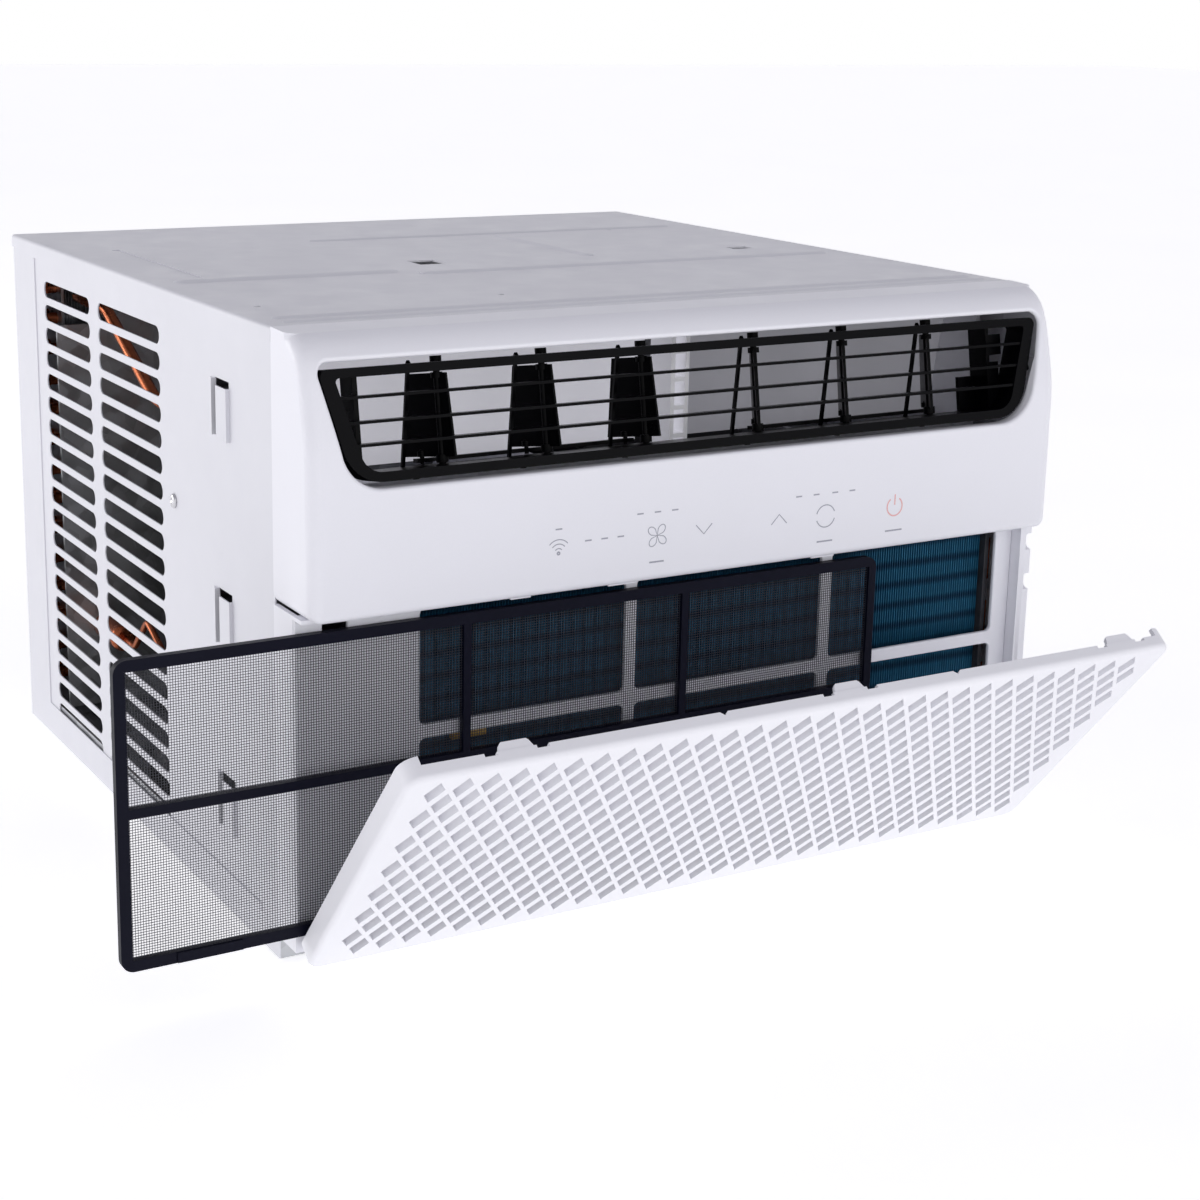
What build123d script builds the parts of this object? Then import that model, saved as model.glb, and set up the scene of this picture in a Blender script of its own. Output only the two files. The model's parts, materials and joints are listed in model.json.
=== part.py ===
from build123d import *
import os
import math

# Window air conditioner with its intake grille tilted open and its air
# filter drawn out to the left.  Millimetres, +Z up, +X to the user's right,
# -Y towards the room.  Modelled about the seam plane between front bezel and
# steel cabinet (y = 0), then shifted so that the origin is the middle of the
# cabinet's flat underside.

# ---------------------------------------------------------------- dimensions
WIDTH = 480.0            # cabinet, outside
HEIGHT = 340.0
CAB_DEPTH = 452.0        # seam to rear edge
BEZEL_DEPTH = 48.0       # front face ahead of the seam
ORIGIN_Y = (CAB_DEPTH - BEZEL_DEPTH) / 2.0
SHEET = 0.8              # steel sheet
WALL = 2.6               # moulded wall
LOUVRE_PITCH = 15.13     # side louvres
LOUVRE_ROWS = 20
LOUVRE_H = 10.4
LOUVRE_TOP = 306.3       # lower edge of the top louvre row
GRILLE_ANGLE = 40.0      # grille tilt at rest
GRILLE_PIVOT = (-42.2, 26.1)
FILTER_W = 460.0
FILTER_H = 161.6
FILTER_Z0 = 26.9
FILTER_OUT = 106.5       # how far the filter is drawn out at rest
CELL_X = 15.0            # grille lattice pitch across
CELL_Z = 12.0            # and between rows
CELL_PHASE = (-117.0, 38.2)
CASS_LEAN = 9.66         # louvre frame's lean back from vertical
CASS_C = (-40.0, 294.5)  # y, z of the frame's middle on its front face
VANE_W = -24.0           # vane pivot line behind the frame's front face
VANE_CRANK = 14.0        # pivot to link pin
VANE_X = (-154.0, -92.0, -30.0, 44.0, 105.5, 167.0)
LEFT_TURN = 22.0        # rest angle of the left vane bank
RIGHT_TURN = -30.0        # rest angle of the right vane bank
FAN_AXIS_X = 28.0        # fan shaft line
FAN_AXIS_Z = 176.0

os.makedirs("parts", exist_ok=True)
HX = WIDTH / 2.0


def bx(x0, x1, y0, y1, z0, z1):
    return Pos((x0 + x1) / 2, (y0 + y1) / 2, (z0 + z1) / 2) * Box(abs(x1 - x0), abs(y1 - y0), abs(z1 - z0))


def cx(x0, x1, y, z, r):
    return Pos((x0 + x1) / 2, y, z) * Rot(0, 90, 0) * Cylinder(r, abs(x1 - x0))


def cy(y0, y1, x, z, r):
    return Pos(x, (y0 + y1) / 2, z) * Rot(90, 0, 0) * Cylinder(r, abs(y1 - y0))


def cz(z0, z1, x, y, r):
    return Pos(x, y, (z0 + z1) / 2) * Cylinder(r, abs(z1 - z0))


def fuse(items):
    items = list(items)
    out = items[0]
    return out.fuse(*items[1:]) if len(items) > 1 else out


def put(shape, name):
    shape = Pos(0, -ORIGIN_Y, 0) * shape
    sol = list(shape.solids())
    export_step(sol[0] if len(sol) == 1 else Compound(children=sol), "parts/%s.step" % name)


def group(items, name):
    sol = []
    for it in items:
        sol += list((Pos(0, -ORIGIN_Y, 0) * it).solids())
    export_step(Compound(children=sol) if len(sol) > 1 else sol[0], "parts/%s.step" % name)


# ------------------------------------------------------------- steel cabinet
# Base pan: folded tray.
pan = bx(-HX + 2.0, HX - 2.0, 1.0, CAB_DEPTH - 2.0, 0, 26.0)
pan -= bx(-HX + 3.2, HX - 3.2, 2.2, CAB_DEPTH - 3.2, 1.2, 30.0)
for yy in (120.0, 228.0, 380.0):
    pan += bx(-HX + 20, HX - 20, yy - 6, yy + 6, 1.2, 3.4)
pan -= cz(-1, 4, -150.0, 420.0, 6.0)
put(pan, "base_pan")

# Side sheets: two columns of twenty round-ended louvre slots and three
# lanced hanger slots, with an embossed crease round the rear louvre field.
COLS = ((291.5, 384.5), (166.0, 275.0))


def side_panel(sign):
    x_out, x_in = HX - 1.0, HX - 1.0 - SHEET
    s = bx(x_in, x_out, 0.4, CAB_DEPTH - 0.4, 0.4, HEIGHT - 1.0)
    slots = []
    for (y0, y1) in COLS:
        for k in range(LOUVRE_ROWS):
            zc = LOUVRE_TOP + LOUVRE_H / 2 - k * LOUVRE_PITCH
            with BuildSketch(Plane.YZ) as sk:
                with Locations(((y0 + y1) / 2, zc)):
                    SlotOverall(y1 - y0, LOUVRE_H)
            slots.append(Pos(HX - 3.0, 0, 0) * extrude(sk.sketch, 4.0))
    for zc in (286.0, 170.0, 64.0):
        slots.append(bx(HX - 4, HX + 1, 60.0, 80.0, zc - 16, zc + 16))
    slots.append(cx(HX - 4, HX + 1, 147.0, 220.0, 2.2))
    s = s.cut(*slots)
    # each hanger slot: a bridge plate standing proud at its front side and a
    # lip flared outwards along its rear side
    tabs = []
    for zc in (286.0, 170.0, 64.0):
        tabs.append(bx(x_in, x_out + 2.2, 59.4, 60.2, zc - 16, zc + 12.5))
        tabs.append(bx(x_out + 1.4, x_out + 2.2, 60.2, 74.0, zc - 16, zc + 12.5))
        with BuildSketch(Plane.XY) as lp:
            with BuildLine():
                Polyline((x_in, 80.0), (x_in, 86.7), (x_out, 86.7), (x_out + 2.3, 80.0), close=True)
            make_face()
        tabs.append(Pos(0, 0, zc - 15.2) * extrude(lp.sketch, 30.4))
    # raised crease
    tabs.append(bx(x_out, x_out + 0.7, 403.0, 407.0, 22.0, 329.0))
    tabs.append(bx(x_out, x_out + 0.7, 24.0, 407.0, 19.0, 23.0))
    s = s.fuse(*tabs)
    return s if sign > 0 else mirror(s, Plane.YZ)


put(side_panel(1), "right_side_panel")
put(side_panel(-1), "left_side_panel")

# Top sheet: flange folded down over both sides, embossed beads and two
# pressed windows.
top = bx(-HX, HX, 0.4, CAB_DEPTH - 0.4, HEIGHT - 8.0, HEIGHT)
top -= bx(-HX + 1.0, HX - 1.0, -1, CAB_DEPTH + 1, HEIGHT - 9.0, HEIGHT - 1.0)
top = fillet(top.edges().filter_by(Axis.Y).filter_by(lambda e: abs(abs(e.center().X) - HX) < 0.01 and e.center().Z > HEIGHT - 0.1), 2.2)
cuts = [bx(-58, -40, 199, 219, HEIGHT - 3, HEIGHT + 1),
        bx(176, 192, 200, 210, HEIGHT - 3, HEIGHT + 1),
        bx(-208, -203, 190, 340, HEIGHT - 0.5, HEIGHT + 1),
        cz(HEIGHT - 3, HEIGHT + 1, -77, 60, 1.8),
        cz(HEIGHT - 3, HEIGHT + 1, -219, 68, 1.8),
        Pos(-28, 343, HEIGHT + 5.4) * Sphere(6.0),
        Pos(160, 335, HEIGHT + 5.4) * Sphere(6.0)]
top = top.cut(*cuts)
top = top.fuse(bx(-204, -87, 172, 179, HEIGHT - 0.2, HEIGHT + 0.7),
               bx(-78, 218, 158.5, 161.5, HEIGHT - 0.2, HEIGHT + 0.6),
               bx(64.5, 67.5, 202, 327, HEIGHT - 0.2, HEIGHT + 0.6))
put(top, "top_panel")

# Rear frame: sheet border that holds the outdoor coil.
rear = bx(-HX + 2.0, HX - 2.0, CAB_DEPTH - 1.6, CAB_DEPTH - 0.4, 26.4, HEIGHT - 1.2)
rear -= bx(-212, 212, CAB_DEPTH - 5, CAB_DEPTH + 5, 44, 320)
rear += bx(-212, 212, CAB_DEPTH - 1.6, CAB_DEPTH - 0.4, 180, 186)
put(rear, "rear_frame")

# -------------------------------------------------------------- front bezel
# Upper head: thin shell with a rounded top edge and a rounded lower lip.
FRONT_PROFILE = [(-47.9, 240.0), (-47.8, 262.0), (-47.0, 285.0), (-43.0, 304.0),
                 (-38.0, 322.0), (-33.0, 331.5), (-22.0, 339.2)]


def head_outline(off):
    z_low = 197.0 + off
    with BuildSketch(Plane.YZ) as sk:
        with BuildLine():
            pts = [(y + off, z - off * (0.25 if z < 325 else 0.8)) for (y, z) in FRONT_PROFILE]
            y_back = 0.0 if off == 0 else 4.0
            low = (pts[0][0], z_low + 4.0)
            l1 = Line((y_back, z_low), (pts[0][0] + 4.0, z_low))
            l2 = ThreePointArc((pts[0][0] + 4.0, z_low), (pts[0][0] + 1.17, z_low + 1.17), low)
            l3 = Line(low, pts[0])
            l4 = Spline(*pts, tangents=[(0, 1), (1, 0.32)])
            l5 = Line(pts[-1], (y_back, HEIGHT - off))
            l6 = Line((y_back, HEIGHT - off), (y_back, z_low))
        make_face()
    return sk.sketch


head = extrude(head_outline(0.0), HX, both=True)
corner = head.edges().filter_by(lambda e: abs(abs(e.center().X) - HX) < 0.01 and e.center().Y < -20 and e.bounding_box().size.Z > 8 and e.center().Z > 200)
try:
    head = fillet(corner, 7.0)
except Exception:
    head = chamfer(corner, 3.0)
inner = extrude(head_outline(WALL), HX - WALL, both=True)
head = head.cut(inner)

# discharge opening through the head, wider at the top
with BuildSketch(Plane.XZ) as sk:
    with BuildLine():
        Polyline((-232.6, 326.0), (232.6, 326.0), (217.6, 263.2), (-217.6, 263.2), close=True)
    make_face()
    low = [v for v in sk.vertices() if v.Y < 270]
    fillet(low, 23.5)
    fillet([v for v in sk.vertices() if v.Y > 320], 6.0)
opening = Pos(0, -20.0, 0) * extrude(sk.sketch, 34.0)
# thick rolled rim round the lower part of the mouth
with BuildSketch(Plane.XZ) as sr:
    with BuildLine():
        Polyline((-239.0, 326.0), (239.0, 326.0), (226.0, 254.5), (-226.0, 254.5), close=True)
    make_face()
    fillet([v for v in sr.vertices() if v.Y < 270], 30.0)
rim_block = (Pos(0, -41.0, 0) * extrude(sr.sketch, 14.0)) & extrude(head_outline(0.6), HX - 1.2, both=True)
head = head.fuse(rim_block).cut(opening)
for r_lip in (4.6, 3.6, 2.6, 1.8):
    lip = head.edges().filter_by(lambda e: e.center().Y < -41.5 and e.center().Z > 258 and e.center().Z < 312
                                 and abs(e.center().X) < 234 and e.bounding_box().max.Y < -39.0)
    lip = [e for e in lip if e.bounding_box().min.Y < -43.5]
    try:
        head = fillet(lip, r_lip)
        print("lip", r_lip, len(lip))
        break
    except Exception as err:
        print("lip fillet", r_lip, len(lip), "not possible")

# Intake frame below the head: face plate with nine windows, the filter
# channel in front of it (open at its left end), side and bottom walls.  Every
# bar is its own block.
XS = ((-170.0, -44.6), (-37.2, 88.2), (95.8, 219.0))
ZS = ((34.0, 54.0), (62.0, 121.2), (129.0, 192.2))
PF, PB = -27.0, -24.4          # face plate, front and back
frame_ = [bx(-HX, -235.4, PF, PB, 31.0, 195.0), bx(-235.4, -225.0, PF, PB, 26.6, 195.0),
          bx(-225.0, -211.0, PF, PB, 26.6, 181.0),
          bx(-211.0, XS[0][0], PF, PB, 26.6, 195.0),
          bx(XS[0][1], XS[1][0], PF, PB, 26.6, 195.0), bx(XS[1][1], XS[2][0], PF, PB, 26.6, 195.0),
          bx(XS[2][1], 231.5, PF, PB, 26.6, 195.0)]
for (a, b) in XS:
    frame_.append(bx(a, b, PF, PB, 26.6, ZS[0][0]))
    frame_.append(bx(a, b, PF, PB, ZS[0][1], ZS[1][0]))
    frame_.append(bx(a, b, PF, PB, ZS[1][1], ZS[2][0]))
    frame_.append(bx(a, b, PF, PB, ZS[2][1], 195.0))
frame_.append(bx(-HX, HX, -35.0, PB, 195.0, 197.0))                   # top of the channel
frame_.append(bx(-235.4, 231.5, -35.0, PB, 22.0, 26.6))               # bottom of the channel
end_block = bx(231.5, 235.4, -35.0, PB, 22.0, 195.0)
end_cheek = bx(235.4, HX, -35.0, PB, 31.0, 195.0)
for zz in (185.0, 160.0):                                             # finger scallops
    end_cheek -= cx(236.0, HX + 1, -35.0, zz, 5.0)
frame_ += [end_block, end_cheek]
frame_.append(bx(-HX, -HX + WALL, PB, 0, 14.0, 197.0))
frame_.append(bx(HX - WALL, HX, PB, 0, 14.0, 197.0) - cx(236.0, HX + 1, -10.0, 44.0, 6.05))
frame_.append(bx(-HX + WALL, HX - WALL, PB, 0, 14.0, 14.0 + WALL))
frame_.append(bx(-HX + WALL, HX - WALL, PB, -22.4, 14.0 + WALL, 26.6))
# filter retaining tabs under the head's lip
for (a, b) in ((-121.0, -109.0), (-61.0, -43.0), (74.0, 90.0)):
    frame_.append(bx(a, b, -35.2, -34.0, 193.2, 195.0))
# hinge lugs on the channel's bottom bar
PY, PZ = GRILLE_PIVOT
for xc in (-196.0, 196.0):
    for sg in (-1, 1):
        xa, xb = sorted((xc + sg * 6.3, xc + sg * 10.3))
        lug = bx(xa, xb, PY, -35.0, PZ - 2.6, PZ + 0.4) + cx(xa, xb, PY, PZ, 2.8)
        lug -= cx(xa - 1, xb + 1, PY, PZ, 1.5)
        frame_.append(lug)
group(frame_, "intake_frame")
extra = []
# bearing blocks for the louvre frame's end pivots
PV_Y = CASS_C[0] - math.sin(math.radians(CASS_LEAN)) + 12.0 * math.cos(math.radians(CASS_LEAN))
PV_Z = CASS_C[1] - math.cos(math.radians(CASS_LEAN)) - 12.0 * math.sin(math.radians(CASS_LEAN))
for s in (-1, 1):
    blk = bx(min(232.6 * s, 237.6 * s), max(232.6 * s, 237.6 * s), PV_Y - 6, PV_Y + 6, PV_Z - 6, PV_Z + 6)
    extra.append(blk - cx(230 * s if s > 0 else -240, 240 if s > 0 else -230, PV_Y, PV_Z, 2.06))
bezel = head.fuse(*extra)
put(bezel, "front_bezel")

# hinge pins, fixed in the bezel's ears
group([cx(-206.3, -185.7, PY, PZ, 1.5), cx(185.7, 206.3, PY, PZ, 1.5)], "grille_hinge_pins")

# touch film behind the fascia and its board
put(bx(-128, 140, -45.28, -44.88, 207.0, 238.0), "touch_film")
board = bx(-125, 137, -44.6, -43.0, 204.5, 240.0)
comps = [bx(-60 + 34 * k, -52 + 34 * k, -43.0, -40.5, 210, 220) for k in range(5)]
comps.append(bx(100, 118, -43.0, -36.0, 212, 226))
put(board.fuse(*comps), "control_board")

# ------------------------------------------------- louvre frame and its vanes
CP = Plane(origin=(0, CASS_C[0], CASS_C[1]), x_dir=(1, 0, 0),
           z_dir=(0, -math.cos(math.radians(CASS_LEAN)), math.sin(math.radians(CASS_LEAN))))


def local(shape):
    # x = along the frame, y = up along its lean, z = towards the room
    return CP.location * shape


def louv_outline(top_x, top_v, low_x, low_v, r_low, r_top):
    with BuildSketch() as s:
        with BuildLine():
            Polyline((-top_x, top_v), (top_x, top_v), (low_x, low_v), (-low_x, low_v), close=True)
        make_face()
        fillet([v for v in s.vertices() if v.Y < 0], r_low)
        fillet([v for v in s.vertices() if v.Y > 0], r_top)
    return s.sketch


rim = Pos(0, 0, -15.0) * extrude(louv_outline(230.2, 28.6, 215.2, -28.8, 22.0, 4.0), 15.0)
rim -= Pos(0, 0, -16.0) * extrude(louv_outline(221.6, 24.0, 207.6, -23.8, 12.0, 2.0), 17.0)
slats = []
for v in (13.9, 1.3, -10.1):
    half = 221.6 - (24.0 - v) * 14.0 / 47.8 + 1.0
    slats.append(Pos(0, v, -6.1) * Box(2 * half, 1.5, 11.0))
# rails that carry the vane pivots
rails = [bx(-212, 212, 24.0, 26.8, -12.0, -1.0), bx(-206, 206, -26.8, -24.2, -29.0, -10.0),
         bx(-206, -203.4, -25.0, 25.0, -29.0, -14.0), bx(203.4, 206, -25.0, 25.0, -29.0, -14.0)]
for x in VANE_X:
    rails.append(bx(x - 4.6, x + 4.6, 24.0, 26.8, -29.0, -11.5))
# stepped web that closes the right end behind the rim
rails += [bx(203.4, 212.0, -25.0, 4.0, -16.5, -13.5), bx(203.4, 214.5, 8.0, 20.0, -16.5, -13.5),
          bx(192.0, 203.6, -24.5, -4.0, -29.0, -26.5)]
# thin struts behind the slats, leaning back towards their feet
for i, x in enumerate(VANE_X):
    xs_ = x - (21.5 if i < 3 else 16.0)
    p0, p1 = Vector(xs_, 25.0, -13.2), Vector(xs_, -25.0, -27.0)
    mid, dv = (p0 + p1) * 0.5, (p1 - p0)
    tilt_s = math.degrees(math.atan2(dv.Z, -dv.Y))
    rails.append(Pos(mid.X, mid.Y, mid.Z) * Rot(-tilt_s, 0, 0) * Box(1.8, dv.length, 1.8))
    rails.append(Pos(xs_, 28.0, -12.0) * Rot(90, 0, 0) * Cone(2.6, 0.8, 4.4, rotation=(180, 0, 0)))
    rails.append(Pos(xs_, -28.2, -12.0) * Rot(90, 0, 0) * Cylinder(1.6, 3.6))
holes = [Pos(x, 0, VANE_W) * Rot(90, 0, 0) * Cylinder(1.86, 70) for x in VANE_X]
louver = rim.fuse(*slats, *rails).cut(*holes)
# end pivots of the frame
for s in (-1, 1):
    xa, xb = (229.0 * s, 233.0 * s)
    louver += bx(min(xa - 9 * s, xa), max(xa - 9 * s, xa), -6, 6, -15.0, -9.0)
    louver += Pos((xa + xb) / 2, -1.0, -12.0) * Rot(0, 90, 0) * Cylinder(2.0, abs(xb - xa) + 2.0)
put(local(louver), "louver_frame")


def vane(x, turn):
    # blade with a slanted rear edge, turning on pins in the two rails;
    # z is measured from the pivot line, towards the room
    with BuildSketch(Plane.YZ) as s:
        with BuildLine():
            Polyline((22.6, 6.5), (22.6, -19.5), (-20.6, -25.5), (-20.6, 9.6), close=True)
        make_face()
    blade = Pos(-0.8, 0, 0) * extrude(s.sketch, 1.6)
    post = Pos(0, 0, 0) * Rot(90, 0, 0) * Cylinder(1.8, 55.0)
    post = Pos(0, 1.6, 0) * post
    head_ = Pos(0, 29.4, 0) * Rot(90, 0, 0) * Cylinder(3.1, 4.0)
    boss_t = Pos(0, 21.5, 0) * Rot(90, 0, 0) * Cylinder(3.2, 3.0)
    boss_b = Pos(0, -21.6, 0) * Rot(90, 0, 0) * Cylinder(3.2, 4.0)
    pin = Pos(0, -20.7, -VANE_CRANK) * Rot(90, 0, 0) * Cylinder(1.2, 7.6)
    boss_p = Pos(0, -19.1, -VANE_CRANK) * Rot(90, 0, 0) * Cylinder(2.4, 3.0)
    v = blade.fuse(post, head_, boss_t, boss_b, pin, boss_p)
    return local(Pos(x, 0, VANE_W) * Rot(0, turn, 0) * v)


names = ["left_vane_1", "left_vane_2", "left_vane_3", "right_vane_1", "right_vane_2", "right_vane_3"]
for i, x in enumerate(VANE_X):
    put(vane(x, LEFT_TURN if i < 3 else RIGHT_TURN), names[i])


def link_bar(xs, turn):
    a = math.radians(turn)
    # rotation about local y carries (0, 0, -crank) to (-crank sin, 0, -crank cos)
    dx, dz = -VANE_CRANK * math.sin(a), -VANE_CRANK * math.cos(a)
    b = Pos((xs[0] + xs[-1]) / 2 + dx, -22.35, VANE_W + dz) * Box(xs[-1] - xs[0] + 8.0, 2.0, 5.0)
    b = b.cut(*[Pos(x + dx, -22.35, VANE_W + dz) * Rot(90, 0, 0) * Cylinder(1.26, 8) for x in xs])
    return local(b)


put(link_bar(VANE_X[:3], LEFT_TURN), "left_link_bar")
put(link_bar(VANE_X[3:], RIGHT_TURN), "right_link_bar")

# ------------------------------------------------------------ air filter
fx0, fx1 = -FILTER_W / 2 - FILTER_OUT, FILTER_W / 2 - FILTER_OUT
fz0, fz1 = FILTER_Z0, FILTER_Z0 + FILTER_H
ff = bx(fx0, fx1, -32.6, -28.2, fz0, fz1)
with BuildSketch(Plane.XZ) as s:
    with Locations(((fx0 + fx1) / 2, (fz0 + fz1) / 2)):
        RectangleRounded(FILTER_W, FILTER_H, 7.0)
ff = Pos(0, -28.2, 0) * extrude(s.sketch, 4.4)
zm = fz0 + 83.0
cols = (fx0 + 6.0, -144.8, -9.0, fx1 - 5.0)
fw = []
for k in range(3):
    a = cols[k] + (2.2 if k else 0)
    b = cols[k + 1] - (2.2 if k < 2 else 0)
    fw.append(bx(a, b, -34, -27, fz0 + 6.0, zm - 2.4))
    fw.append(bx(a, b, -34, -27, zm + 2.4, fz1 - 6.0))
ff = ff.cut(*fw)
# pull lip on the bottom rail near the left end
ff += bx(fx0 + 29, fx0 + 64, -33.6, -31.0, fz0 + 0.2, fz0 + 5.6)
put(ff, "filter_frame")
put(bx(fx0 + 4.0, fx1 - 4.0, -31.0, -30.4, fz0 + 4.0, fz1 - 4.0).cut(
    bx(fx0 + 1, fx1, -32, -29, zm - 2.4, zm + 2.4),
    bx(cols[1] - 2.2, cols[1] + 2.2, -32, -29, fz0, fz1),
    bx(cols[2] - 2.2, cols[2] + 2.2, -32, -29, fz0, fz1),
    bx(fx0, cols[0], -32, -29, fz0, fz1), bx(cols[3], fx1, -32, -29, fz0, fz1),
    bx(fx0, fx1, -32, -29, fz0, fz0 + 6.0), bx(fx0, fx1, -32, -29, fz1 - 6.0, fz1)), "filter_mesh")

# ------------------------------------------------------------ intake grille
GX = 239.5
GZ0, GZ1 = 8.2, 196.4          # closed position
GF, GM, GB = -48.5, -43.4, -35.6  # front face, back of the face, back rim
GW = 2.6
with BuildSketch(Plane.XZ) as s:
    with Locations((0, (GZ0 + GZ1) / 2)):
        RectangleRounded(2 * GX, GZ1 - GZ0, 9.0)
face = Pos(0, GM, 0) * extrude(s.sketch, GM - GF)
face = fillet(face.faces().sort_by(Axis.Y)[0].edges(), 3.0)
# egg-crate face: diamond cells between thick and thin slanting ribs
RIB_THICK, RIB_THIN = 4.6, 2.4
A1, A2 = CELL_X / 2.0, CELL_Z
LEN = math.hypot(A1, A2)
# half sides of a cell, measured along the two rib directions
WIDE = math.sin(2 * math.atan2(A1, A2)) * LEN
k1 = (WIDE - RIB_THICK) / WIDE / 2.0
k2 = (WIDE - RIB_THIN) / WIDE / 2.0
# u runs along the thick ribs (up to the right), v along the thin ribs
ux, uz, vx, vz = A1, A2, A1, -A2
cell = [(k2 * ux * a + k1 * vx * b, k2 * uz * a + k1 * vz * b) for a, b in ((1, 1), (1, -1), (-1, -1), (-1, 1))]
centres = []
for j in range(-2, 18):
    for i in range(-40, 40):
        x = CELL_PHASE[0] + i * CELL_X + j * A1
        z = CELL_PHASE[1] + j * A2
        if abs(x) < 222.5 and 20.7 < z < 182.7:
            centres.append((x, z))
with BuildSketch(Plane.XZ) as s:
    with Locations(*centres):
        Polygon(*cell, align=None)
face = face - (Pos(0, -40.0, 0) * extrude(s.sketch, 14.0))
# pockets that clear the hinge lugs
for xc in (-196.0, 196.0):
    for sg in (-1, 1):
        xa, xb = sorted((xc + sg * 5.9, xc + sg * 10.7))
        face -= cx(xa, xb, GRILLE_PIVOT[0], GRILLE_PIVOT[1], 3.3)
    face -= cx(xc - 10.5, xc + 10.5, GRILLE_PIVOT[0], GRILLE_PIVOT[1], 1.8)
tilt = Pos(0, GRILLE_PIVOT[0], GRILLE_PIVOT[1]) * Rot(GRILLE_ANGLE, 0, 0) * Pos(0, -GRILLE_PIVOT[0], -GRILLE_PIVOT[1])
put(tilt * face, "front_grille")

# rim behind the face: side, bottom and top walls, corner arcs, hinge ears
RC = 9.0
walls = [bx(-GX, -GX + GW, GM, GB, GZ0 + RC, GZ1 - RC), bx(GX - GW, GX, GM, GB, GZ0 + RC, GZ1 - RC),
         bx(-GX + RC, GX - RC, GM, GB, GZ0, GZ0 + GW)]
for (cx0, cz0, sx, sz) in ((-GX + RC, GZ0 + RC, -1, -1), (GX - RC, GZ0 + RC, 1, -1), (-GX + RC, GZ1 - RC, -1, 1), (GX - RC, GZ1 - RC, 1, 1)):
    arc = cy(GM, GB, cx0, cz0, RC) - cy(GM - 1, GB + 1, cx0, cz0, RC - GW)
    walls.append(arc & bx(min(cx0, cx0 + sx * 12), max(cx0, cx0 + sx * 12), GM, GB, min(cz0, cz0 + sz * 12), max(cz0, cz0 + sz * 12)))
# top wall: low between the latches, with its three latch bays cut lower still
LATCH_X = (-180.4, 15.4, 203.7)
GT = -40.4
top_wall = bx(-GX + RC, GX - RC, GM, GT, GZ1 - GW, GZ1)
for xc in LATCH_X:
    for sg in (-1, 1):
        top_wall -= bx(xc + sg * 14.0 - 3.4, xc + sg * 14.0 + 3.4, -42.2, GB + 1, GZ1 - GW - 1, GZ1 + 1)
for xn in (-63.0, 86.0):
    with BuildSketch(Plane.XY) as nk:
        with BuildLine():
            Polyline((xn - 2.6, GT + 0.2), (xn + 2.6, GT + 0.2), (xn, -42.6), close=True)
        make_face()
    top_wall -= Pos(0, 0, GZ1 - GW - 1) * extrude(nk.sketch, GW + 2)
walls.append(top_wall)
for xc in (-196.0, 196.0):
    ear = bx(xc - 5.6, xc + 5.6, GM, PY, PZ - 3.4, PZ + 3.4) + cx(xc - 5.6, xc + 5.6, PY, PZ, 3.4)
    ear -= bx(xc - 8, xc + 8, -50.0, GM, 0, 60)
    ear -= cx(xc - 8, xc + 8, PY, PZ, 1.56)
    walls.append(ear)
group([tilt * w_ for w_ in walls], "grille_rim")
latches = []
for xc in LATCH_X:
    with BuildSketch(Plane.XY) as lk:
        with BuildLine():
            Polyline((xc - 9.5, GT), (xc + 9.5, GT), (xc + 8.0, GB - 1.2), (xc + 6.8, GB), (xc - 6.8, GB), (xc - 8.0, GB - 1.2), close=True)
        make_face()
    t = Pos(0, 0, GZ1 - GW) * extrude(lk.sketch, GW - 0.4)
    t += bx(xc - 5.5, xc + 5.5, GB - 1.6, GB, GZ1 - GW - 3.0, GZ1 - GW)
    latches.append(tilt * t)
group(latches, "grille_latch_tabs")

# --------------------------------------------------- indoor coil and air path
EY0, EY1 = -17.0, 21.0
put(bx(-176, 216, EY0, EY1, 30.0, 196.0), "evaporator_fins")
tubes = []
for row, yy in enumerate((-8.0, 12.0)):
    for k in range(8):
        z = 40.0 + 20.0 * k + 4 * row
        tubes.append(cx(-186.4, -177.4, yy, z, 3.5))
        tubes.append(cx(217.4, 223.0, yy, z, 3.5))
for row, yy in enumerate((-8.0, 12.0)):
    for k in range(0, 8, 2):
        z = 40.0 + 20.0 * k + 4 * row
        if k > 0:
            tubes.append(bx(223.0, 229.0, yy - 3, yy + 3, z - 3, z + 23))
        if k + 2 < 8:
            tubes.append(bx(-192.0, -186.4, yy - 3, yy + 3, z + 17, z + 43))
group([fuse(tubes)], "evaporator_tubes")
epl = bx(216.0, 217.4, EY0 - 4, EY1 + 2, 30.0, 196.6) + bx(217.4, 219.0, EY0 - 4, EY0 - 1, 30.0, 196.6)
epr = bx(-177.4, -176.0, EY0 - 4, EY1 + 2, 30.0, 196.6)
group([epl, epr], "evaporator_end_plates")
dtray = bx(-200, 232, -19, 26, 26.4, 28.0) + bx(-200, 232, -21, -19.0, 26.4, 29.8) + bx(-200, 232, 24.4, 26, 26.4, 36.0)
put(dtray, "evaporator_drip_tray")

# return-air sensor clipped on the coil's face
put(cx(-148, -128, -20.2, 118.0, 2.6), "air_sensor")

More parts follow.
